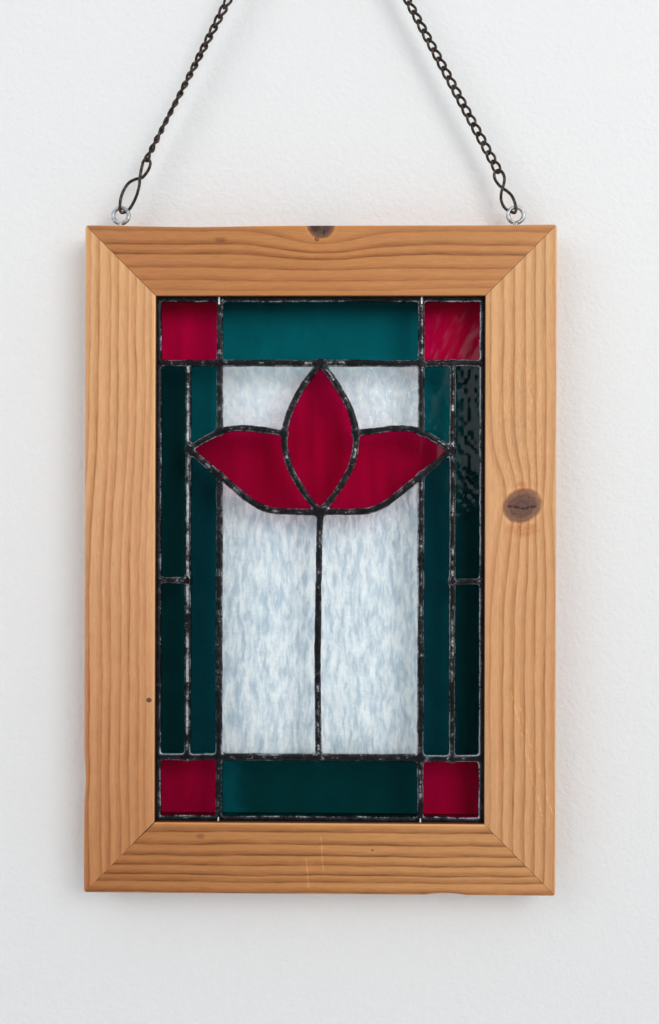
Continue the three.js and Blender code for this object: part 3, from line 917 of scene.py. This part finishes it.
def solder_finish():
    """Near black patina over tin: silver specks on the crests, partly rubbed tin and partly painted
    highlight, and a painted highlight line at the foil's edge.
    """
    g = Finish("patinated_solder")
    body, wear, painted_shine = g.attribute("bead")
    bare, _, _ = g.attribute("bare")
    place = g.place()
    mottle = g.noise(place, (3.4, 3.4, 3.4), 2, 0.6)
    fine = g.noise(place, (0.9, 0.9, 0.9), 3, 0.75)
    crest = (body - 1.0).bell(0.12)
    # Painted highlight: near-white along the crests, mixed with real rubbed tin, and in a thin line at the
    # foil's edge, as strong as the wear and shine marks say.
    rubbed = crest * (fine * 0.5 + mottle * 0.7 + wear).rise(0.2, 1.1)
    foil = (body - 0.2).bell(0.16) * (fine * 0.6 + mottle * 0.5 + painted_shine).rise(0.0, 0.9)
    bright = (rubbed + foil).math("MINIMUM", 1.0)
    patina = g.mix(mottle * 0.5 + 0.5, linear(14, 14, 17), linear(40, 41, 46))
    colour = g.mix(bright, patina, linear(205, 208, 213))
    # Painted highlight: four short slits at the outer ends of the inner upright seams are near-white,
    # standing in for a gleam.
    painted_glint = bare.rise(0.35, 0.7)
    colour = g.mix(painted_glint, colour, linear(250, 249, 246))
    g.set(Base_Color=colour, Metallic=0.7 - painted_glint * 0.5, Roughness=0.29 + fine * 0.06,
          Specular_IOR_Level=0.35)
    g.bump(fine * 0.7 + mottle * 0.5, 0.07)
    return g.material


def make_solder():
    corner = np.array([RIM_X, RIM_Z])
    points, faces, (x, z) = plate(
        solder_field, -corner, corner, SOLDER_CELL, solder_height(21), solder_height(31))
    body = np.clip(solder_body(x, z), 0, 2)
    on_rim = from_rim(x, z) < RIM_CREST + 0.6
    # wear and shine place the bright tin. The random relief in wear is rubbing; the rest is painted
    # highlight: brighter along the left split seam, on the seams right of the middle where the light comes
    # from, on the petals' seams and at the seams' feet, more on the right side than the left. The rim,
    # which lies in the rail's shade, gets no crest specks.
    left_split = bell(x + SPLIT, 1.5) * (z < TOP)
    lit_right_seams = bell(x - SPLIT, 1.5) + 0.6 * bell(x - INNER, 1.5)
    petals = bell(z - 50, 22) * (np.abs(x) < SPLIT)
    feet = bell(z - BOTTOM - 2.0, 1.8) * (np.abs(x) > INNER - 2)
    sides = 0.5 * (x > SPLIT + 3) + 0.1 * (x < -SPLIT - 3)
    wear = 0.3 * relief(x, z, 12, 41) + 0.55 * left_split + 0.15 * lit_right_seams - 2.0 * on_rim
    painted_shine = 0.1 + 0.3 * relief(x, z, 9, 43) + 0.15 * petals + 0.6 * lit_right_seams + 0.9 * feet + sides
    bare = sum(bell(np.hypot(x - slit_x, np.maximum(np.abs(z - slit_z) - half, 0)), 0.3)
               for slit_x, slit_z, half in GLINT_SLITS)
    marks = {"bead": [body, wear, painted_shine], "bare": [bare]}
    piece("leading", points, faces, solder_finish(), ["solder_lattice"], "solder", marks, crease=60)


# ---- Glass ----

GLASS_INSET = 1.1  # from a seam's centre to the glass


def layered(*layers):
    """Waves of several sizes together: each layer is its share and the size of its bumps."""
    def pattern(x, z, seed):
        return sum(share * relief(x, z, cell, seed + i) for i, (share, cell) in enumerate(layers))
    return pattern


pebbles = layered((0.6, (2.4, 3.0)), (0.4, (4.5, 6)))
streaks = layered((0.7, (4, 30)), (0.3, (2, 12)))
pocked = layered((0.5, (1.5, 2.1)), (0.3, (5, 8)))  # like hammered glass
leaning = layered((0.6, (3.2, 13)), (0.35, (1.6, 5)))
swaying = layered((1.3, (7, 11)), (0.5, (3, 6)))
standing = layered((0.75, (1.7, 7.5)), (0.4, (1.2, 3.6)))


def ripples(x, z, seed):
    """Long upright waves, about 3 mm apart, that run together and part again."""
    return standing(x + swaying(x, z, seed), z, seed + 2)


def slanting(x, z, seed):
    """Waves that lean to the right as they rise."""
    return leaning(x * 0.9 - z * 0.43, x * 0.43 + z * 0.9, seed)


def dimples(x, z, seed):
    """Small seeds and waves of hand-rolled glass."""
    seeds = np.maximum(relief(x, z, (1.6, 1.6), seed) - 0.55, 0) * 2
    return 0.5 * relief(x, z, (6, 9), seed + 1) + seeds


def glass(name, thin, thick, band=None):
    """Coloured glass, a little deeper where a wave is thick. A band is its place, width and colour."""
    g = Finish(name)
    wave, _, _ = g.attribute("wave")
    place = g.place()
    cloud = g.noise(place, (9, 9, 20), 2) * 0.18
    colour = g.mix(wave * 0.5 + 0.5 + cloud, linear(*thick), linear(*thin))
    if band:
        x, width, tint = band
        ragged = g.noise(place, (5, 40, 5), 3, 0.65) * 3.0
        colour = g.mix((place[X] - (CENTRE[X] + x) + ragged).bell(width) * 0.8, colour, linear(*tint))
    g.set(Base_Color=colour, Roughness=0.04, IOR=1.5, Transmission_Weight=1.0)
    return g.material


def caustic_painted_glass(name, flame, hair, thick):
    """Clear glass with painted caustic light and shade: pale and grey upright wisps in its colour. flame
    and hair are their sizes along each axis.
    """
    g = Finish(name)
    wave, _, _ = g.attribute("wave")
    x, y, z = g.place()
    deep = 400  # so that a wisp goes through the pane
    place = (x + g.noise((x, y, z), (6, deep, 9), 2), y, z)
    flames = g.noise(place, (flame[0], deep, flame[1]), 3, 0.65)
    hairs = g.noise(place, (hair[0], deep, hair[1]), 3, 0.7)
    # Painted light and shade: the wisps make the colour pale or grey, standing in for light focused and
    # shaded by the waves.
    painted_caustics = (flames + hairs * 0.4 + wave * 0.4).rise(-1.0, 0.8)
    colour = g.mix(painted_caustics, linear(*thick), linear(251, 255, 255))
    g.set(Base_Color=colour, Roughness=0.05, IOR=1.5, Transmission_Weight=1.0)
    g.bump(flames + hairs * 0.5, 0.05)
    return g.material


def pane_kinds():
    """By the start of a pane's name: its finish, its waves and their swing, its mesh cell and its slot."""
    clear, green, red = "glass_clear", "glass_green", "glass_red"
    # The upper clear glass is a painted-lit copy: its grey is lighter than the lower panes', against the
    # shade the upper panes lie in.
    clear_lower = caustic_painted_glass("clear_glass_lower", (2.6, 11), (1.0, 4.5), (186, 205, 219))
    clear_upper = caustic_painted_glass("clear_glass_upper", (3.2, 5.5), (1.2, 2.2), (216, 230, 240))
    # One teal-green glass in painted-lit and painted-shade copies: lighter on the top bar and the upper
    # inner strips, darker on the bottom bar, the lower inner strips and the outer strips beside the frame.
    # The bottom bar's lighter band is a real streak.
    lit_green_bar = glass("teal_glass", (5, 116, 124), (3, 102, 110))
    shaded_green_bar = glass("dark_teal_glass", (2, 70, 73), (2, 60, 63), band=(-40.3, 3.8, (3, 100, 108)))
    shaded_green_outer = glass("deep_green_glass", (2, 72, 76), (2, 60, 64))
    lit_green_inner = glass("green_glass", (3, 104, 112), (2, 92, 98))
    shaded_green_inner = glass("mid_green_glass", (3, 76, 84), (2, 64, 72))
    ruby = glass("ruby_glass", (182, 2, 66), (158, 1, 52))
    # The corners' ruby is a painted-lit copy at the top and a painted-shade copy at the bottom.
    lit_ruby_corner = glass("light_ruby_glass", (204, 3, 82), (186, 2, 70))
    shaded_ruby_corner = glass("dark_ruby_glass", (182, 2, 70), (164, 1, 58))
    return {
        "clear_lower": (clear_lower, ripples, 0.13, 0.52, clear),
        "clear_upper": (clear_upper, pebbles, 0.10, 0.6, clear),
        "bar_top": (lit_green_bar, dimples, 0.05, 1.0, green),
        "bar_bottom": (shaded_green_bar, dimples, 0.05, 1.0, green),
        "outer": (shaded_green_outer, pocked, 0.07, 0.6, green),
        "inner_strip_upper": (lit_green_inner, dimples, 0.06, 1.0, green),
        "inner_strip_lower": (shaded_green_inner, dimples, 0.06, 1.0, green),
        "petal": (ruby, streaks, 0.05, 0.9, red),
        "corner_top_right": (lit_ruby_corner, slanting, 0.045, 0.5, red),
        "corner_top": (lit_ruby_corner, streaks, 0.05, 0.9, red),
        "corner_bottom": (shaded_ruby_corner, streaks, 0.05, 0.9, red),
    }


def make_glass():
    kinds = pane_kinds()
    for number, (name, outline) in enumerate(pane_outlines().items()):
        finish, pattern, swing, cell, slot = next(kinds[start] for start in kinds if name.startswith(start))
        seed = 100 + 10 * number
        loop = np.vstack([outline, outline[:1]])

        def field(x, z):
            away = distance_to_line(x, z, loop)
            return np.where(inside_outline(x, z, outline), away, -away) - GLASS_INSET

        def front(x, z):
            return HALF_GLASS - swing + swing * pattern(x, z, seed)

        def back(x, z):
            return HALF_GLASS - swing + swing * pattern(x, z, seed + 5)

        low, high = outline.min(axis=0), outline.max(axis=0)
        points, faces, (x, z) = plate(field, low, high, cell, front, back)
        marks = {"wave": [pattern(x, z, seed)]}
        pane = piece("pane_" + name, points, faces, finish, ["glass_" + name], slot, marks, crease=60)
        pane.visible_shadow = False


# ---- Wires: screw eyes, bent links and chain ----

CHAIN_PITCH = 4.86
CHAIN_WIDTH = 3.1
CHAIN_WIRE = 0.62
TWIST = math.pi / 2
EYE_RING, EYE_WIRE, EYE_HEIGHT = 3.5, 0.95, 155.7
EYE_FOOT = HALF_HEIGHT - 12
LINK_WIRE = 0.68
HANGERS = {
    "left": {
        "eye": -91, "head": (-79.1, 181.8), "run_rolls": (1.57, -0.95),
        "link": [  # a figure of eight, from its foot up the right side, and round: x, height, depth
            (-89.9, 156.6, -1.5), (-87.7, 158.6, 0.9), (-85.5, 161.9, 0.8), (-83.7, 165.6, 0.2),
            (-82.6, 169.2, -0.5), (-82.3, 172.1, -0.75), (-81.9, 175.1, -0.7), (-81.3, 178.2, -0.5),
            (-80.6, 180.6, -0.2), (-79.1, 181.7, 0.2), (-77.8, 180.2, 0.6), (-78.3, 177.6, 0.7),
            (-79.8, 175.1, 0.75), (-81.7, 173.2, 0.75), (-84.8, 172.4, 0.6), (-87.8, 170.4, 0.2),
            (-89.9, 166.7, -0.3), (-91.0, 163.0, -0.7), (-91.2, 159.2, -1.2), (-90.9, 157.2, -1.6),
        ],
    },
    "right": {
        "eye": 88.2, "head": (80.0, 176.1), "run_rolls": (0.15, -0.95),
        "link": [
            (87.1, 156.3, -1.5), (84.7, 158.1, 0.9), (82.7, 160.1, 0.8), (81.6, 162.9, 0.4),
            (81.6, 165.7, -0.3), (82.3, 168.3, -0.7), (82.9, 171.0, -0.7), (82.7, 173.5, -0.4),
            (81.7, 175.4, 0.0), (80.0, 176.1, 0.3), (78.6, 174.8, 0.5), (78.7, 172.6, 0.6),
            (80.1, 170.2, 0.7), (82.2, 168.2, 0.7), (84.4, 166.7, 0.6), (86.3, 164.6, 0.2),
            (87.5, 161.6, -0.5), (88.0, 158.7, -1.2), (87.9, 157.0, -1.6),
        ],
    },
}
OUT = np.array([0.0, -1.0, 0.0])  # towards the viewer
NAIL = np.array([-CENTRE[X], 0, -CENTRE[Z]])  # the hanging point, from the frame's centre
NAIL_LINK, NAIL_LINK_WIDTH, NAIL_LINK_WIRE = 5.2, 3.4, 0.46


def upright(place):
    return np.array([place[0], 0.0, place[1]])


def link_line(foot, head, width, rolls, steps=64, square=1.0):
    """The centreline of an oval link between two points, turning as it rises."""
    turn = np.linspace(0, 2 * math.pi, steps, endpoint=False)[:, None]
    share = (1 - np.cos(turn)) / 2
    swing = width / 2 * np.sign(np.sin(turn)) * np.abs(np.sin(turn)) ** square
    roll = rolls[0] + (rolls[1] - rolls[0]) * share
    axis = head - foot
    side = np.cross(axis / np.linalg.norm(axis), OUT)
    return foot + axis * share + side * swing * np.cos(roll) + OUT * swing * np.sin(roll)


def smooth_loop(spots, steps=7):
    """A closed curve through some places (x, height, depth), rounded between them."""
    here = np.array(spots)[:, [0, 2, 1]]
    before, after, beyond = (np.roll(here, shift, axis=0) for shift in (1, -1, -2))
    line = []
    for t in np.linspace(0, 1, steps, endpoint=False):
        square = 2 * before - 5 * here + 4 * after - beyond
        cube = 3 * here - before - 3 * after + beyond
        line.append(0.5 * (2 * here + (after - before) * t + square * t**2 + cube * t**3))
    return np.stack(line, axis=1).reshape(-1, 3)


def tube(line, radii, sides=10, closed=True):
    """A round wire along a line, with its blocks of faces. Its section is carried without twist."""
    count = len(line)
    if closed:
        tangent = np.roll(line, -1, axis=0) - np.roll(line, 1, axis=0)
    else:
        tangent = np.gradient(line, axis=0)
    tangent /= np.linalg.norm(tangent, axis=1)[:, None]
    normal = np.cross(tangent[0], [0.31, 0.73, 0.61])
    normals = []
    for direction in tangent:
        normal = normal - direction * (normal @ direction)
        normal = normal / np.linalg.norm(normal)
        normals.append(normal)
    normals = np.array(normals)
    if closed:
        last = normals[-1] - tangent[0] * (normals[-1] @ tangent[0])
        across = np.cross(tangent[0], normals[0])
        miss = math.atan2(last @ across, last @ normals[0])
        turn = (-miss * np.arange(count) / count)[:, None]
        normals = normals * np.cos(turn) + np.cross(tangent, normals) * np.sin(turn)
    beside = np.cross(tangent, normals)
    angle = np.linspace(0, 2 * math.pi, sides, endpoint=False)[None, :, None]
    ring = normals[:, None] * np.cos(angle) + beside[:, None] * np.sin(angle)
    size = np.broadcast_to(radii, count)[:, None, None]
    points = (line[:, None] + size * ring).reshape(-1, 3)
    index = np.arange(count * sides).reshape(count, sides)
    caps = [] if closed else [index[:1, ::-1], index[-1:]]
    index = np.vstack([index, index[:1]]) if closed else index
    around = np.roll(index, -1, axis=1)
    quads = np.stack([index[:-1], around[:-1], around[1:], index[1:]], axis=-1).reshape(-1, 4)
    return points, [quads, *caps]


def joined(parts):
    """Several closed meshes as one."""
    points, blocks, offset = [], [], 0
    for some_points, faces in parts:
        points.append(some_points)
        blocks += [np.asarray(block) + offset for block in faces]
        offset += len(some_points)
    return np.concatenate(points), blocks


def chain_finish():
    """Dark brown steel, rubbed a little brighter where links wear on each other."""
    g = Finish("antiqued_steel")
    place = g.place()
    patch = g.noise(place, (1.6, 1.6, 1.6), 3, 0.6)
    fine = g.noise(place, (0.35, 0.35, 0.35), 2)
    colour = g.mix(patch.rise(-0.3, 0.9), linear(52, 43, 38), linear(100, 88, 80))
    g.set(Base_Color=colour, Metallic=0.85, Roughness=0.38 + fine * 0.07)
    g.bump(fine, 0.02)
    return g.material


def zinc_finish():
    """Bright zinc plating, faintly brushed and dull in patches."""
    g = Finish("zinc_plate")
    place = g.place()
    patch = g.noise(place, (1.5, 1.5, 1.5), 3, 0.6)
    colour = g.mix(patch.rise(-0.8, 0.8), linear(150, 156, 162), linear(206, 209, 212))
    g.set(Base_Color=colour, Metallic=1.0, Roughness=0.42 + patch * 0.08)
    g.bump(g.noise(place, (0.4, 0.4, 0.4), 2), 0.012)
    return g.material


def screw_eye(x):
    """A shank that comes out of the rail and bends into an open ring."""
    centre = upright((x, EYE_HEIGHT))
    turn = np.radians(np.linspace(-90, 252, 60))[:, None]
    ring = centre + EYE_RING * (np.cos(turn) * [1, 0, 0] + np.sin(turn) * [0, 0, 1])
    shank_top = EYE_HEIGHT - EYE_RING - 1.0
    shank = np.array([upright((x - 0.2, z)) for z in np.linspace(EYE_FOOT, shank_top, 8)])
    line = np.concatenate([shank, ring[1:]])
    radii = np.full(len(line), EYE_WIRE)
    radii[0] = 0.3
    radii[-1] = EYE_WIRE * 0.8
    return tube(line, radii, 14, closed=False)


def chain_run(sign, hanger):
    """A run of curb links, drawn tight between the bent link and the middle link."""
    hooked = upright(hanger["head"])
    top = NAIL + [sign * 1.3, 0, -1.0]
    direction = (top - hooked) / np.linalg.norm(top - hooked)
    foot = hooked - direction * (LINK_WIRE + CHAIN_WIRE)
    length = np.linalg.norm(top - foot)
    overlap = 2 * CHAIN_WIRE
    count = round((length - overlap) / CHAIN_PITCH)
    step = (length - overlap) / count
    links = []
    for i in range(count):
        low = foot + direction * step * i
        roll = np.interp((i + 0.5) / count, (0, 1), hanger["run_rolls"])
        line = link_line(low, low + direction * (step + overlap), CHAIN_WIDTH,
                         (roll + TWIST / 2, roll - TWIST / 2), steps=28, square=0.85)
        links.append(tube(line, CHAIN_WIRE, 8))
    return joined(links)


def make_wires():
    steel, zinc = chain_finish(), zinc_finish()
    for side, hanger in HANGERS.items():
        sign = 1 if side == "right" else -1
        points, faces = tube(smooth_loop(hanger["link"]), LINK_WIRE, 12)
        piece(f"bent_link_{side}", points, faces, steel, [f"wire_link_{side}"], "chain_metal")
        points, faces = screw_eye(hanger["eye"])
        piece(f"eye_{side}", points, faces, zinc, [f"screw_eye_{side}"], "zinc")
        points, faces = chain_run(sign, hanger)
        piece(f"curb_chain_{side}", points, faces, steel, [f"chain_{side}"], "chain_metal")
    reach, height = NAIL_LINK / 2, NAIL_LINK_WIRE - NAIL_LINK_WIDTH / 2
    ends = NAIL + [-reach, 0, height], NAIL + [reach, 0, height]
    points, faces = tube(link_line(*ends, NAIL_LINK_WIDTH, (0, 0), square=0.9), NAIL_LINK_WIRE, 12)
    piece("nail_link", points, faces, steel, ["chain_middle_link"], "chain_metal")


# ---- Room, lights and camera ----


def flat_sheet(name, corners, material):
    mesh = bpy.data.meshes.new(name)
    mesh.from_pydata([tuple(corner) for corner in corners], [], [(0, 1, 2, 3)])
    mesh.materials.append(material)
    sheet = bpy.data.objects.new(name, mesh)
    bpy.context.scene.collection.objects.link(sheet)
    return sheet


def plaster():
    """A pale wall, painted darker lower down as the light falls off, with faint roller texture. It is only
    there from its front.
    """
    g = Finish("pale_wall")
    place = g.place()
    grain = g.noise(place, (2.2, 2.2, 2.2), 4, 0.6)
    # Painted shade: the wall darkens towards its foot, standing in for the light falling off.
    painted_falloff = place[Z].rise(-100, -560) * -0.08 + 1.02
    g.set(Base_Color=g.shaded((0.83, 0.835, 0.84), painted_falloff), Roughness=0.9, Specular_IOR_Level=0.1)
    g.bump(grain, 0.12)
    hidden = g.made("ShaderNodeBsdfTransparent")
    behind = Signal(g, g.add("ShaderNodeNewGeometry").outputs["Backfacing"])
    shown = Signal(g, g.shader.outputs[0])
    g.plug(g.made("ShaderNodeMixShader", behind, shown, hidden), g.output.inputs["Surface"])
    return g.material


def pale_floor():
    g = Finish("pale_floor")
    g.set(Base_Color=(0.74, 0.74, 0.74, 1), Roughness=0.8)
    return g.material


def make_room():
    wall_y = (HALF_DEPTH + 1.0) * MM
    reach, low, high = 2.0, -1.2, 1.2
    wall = flat_sheet("wall", [
        (-reach, wall_y, low), (reach, wall_y, low), (reach, wall_y, high), (-reach, wall_y, high),
    ], plaster())
    wall.visible_shadow = False
    front = -2.1
    flat_sheet("floor", [(-3, front, low), (3, front, low), (3, 3, low), (-3, 3, low)], pale_floor())


def make_lights():
    """Square lights by their place from the frame's centre, in metres."""
    aim = Vector(CENTRE * MM)
    for name, offset, side, power, colour in [
        ("window_light", (0.82, -1.33, 0.5), 0.85, 11.5, (1, 0.99, 0.97)),
        ("upper_light", (-1.08, -1.25, 0.6), 1.2, 7.3, (1, 1, 1)),
        ("back_light", (-0.5, 1.6, 0.6), 1.5, 8, (1, 1, 1)),
    ]:
        lamp = bpy.data.lights.new(name, "AREA")
        lamp.shape = "RECTANGLE"
        lamp.size = lamp.size_y = side
        lamp.energy = power
        lamp.color = colour
        light = bpy.data.objects.new(name, lamp)
        light.location = aim + Vector(offset)
        light.rotation_euler = (aim - light.location).to_track_quat("-Z", "Y").to_euler()
        bpy.context.scene.collection.objects.link(light)


def make_world():
    """A pale room, dim straight ahead, with a far window to the right that the panes mirror."""
    world = bpy.data.worlds.new("pale_room")
    world.use_nodes = True
    g = Graph(world.node_tree)
    x, y, z = g.parts(g.add("ShaderNodeTexCoord"), "Generated")
    glow = 0.73 + x * 0.12 + z * 0.2
    rays = g.add("ShaderNodeLightPath").outputs
    straight = Signal(g, rays["Is Camera Ray"]) + Signal(g, rays["Is Transmission Ray"])
    ahead = (y * -1).rise(0.62, 0.94) * (1 - straight.math("MINIMUM", 1.0))
    window = (x - 0.24).size().rise(0.145, 0.11) * (z - 0.1).size().rise(0.085, 0.055) * ahead
    ground = world.node_tree.nodes["Background"]
    ground.inputs["Color"].default_value = (0.95, 0.975, 1.0, 1)
    g.plug(glow * (1 - ahead * 0.97) + window * 0.7, ground.inputs["Strength"])
    bpy.context.scene.world = world


def make_camera():
    """Level with the frame's upper half, a little right of its middle and turned slightly left."""
    data = bpy.data.cameras.new("camera")
    data.lens = 35.16
    data.sensor_width = 36
    camera = bpy.data.objects.new("camera", data)
    camera.location = (CENTRE + [10.5, -453.6, 21.0]) * MM
    pitch, roll, yaw = 0.0175, -0.14, 0.793  # in degrees
    camera.rotation_euler = np.radians([90 + pitch, roll, yaw])
    bpy.context.scene.collection.objects.link(camera)
    bpy.context.scene.camera = camera


def set_view():
    view = bpy.context.scene.view_settings
    view.view_transform = "Standard"
    view.look = "None"


make_camera()
make_frame()
make_solder()
make_glass()
make_wires()
make_room()
make_lights()
make_world()
set_view()
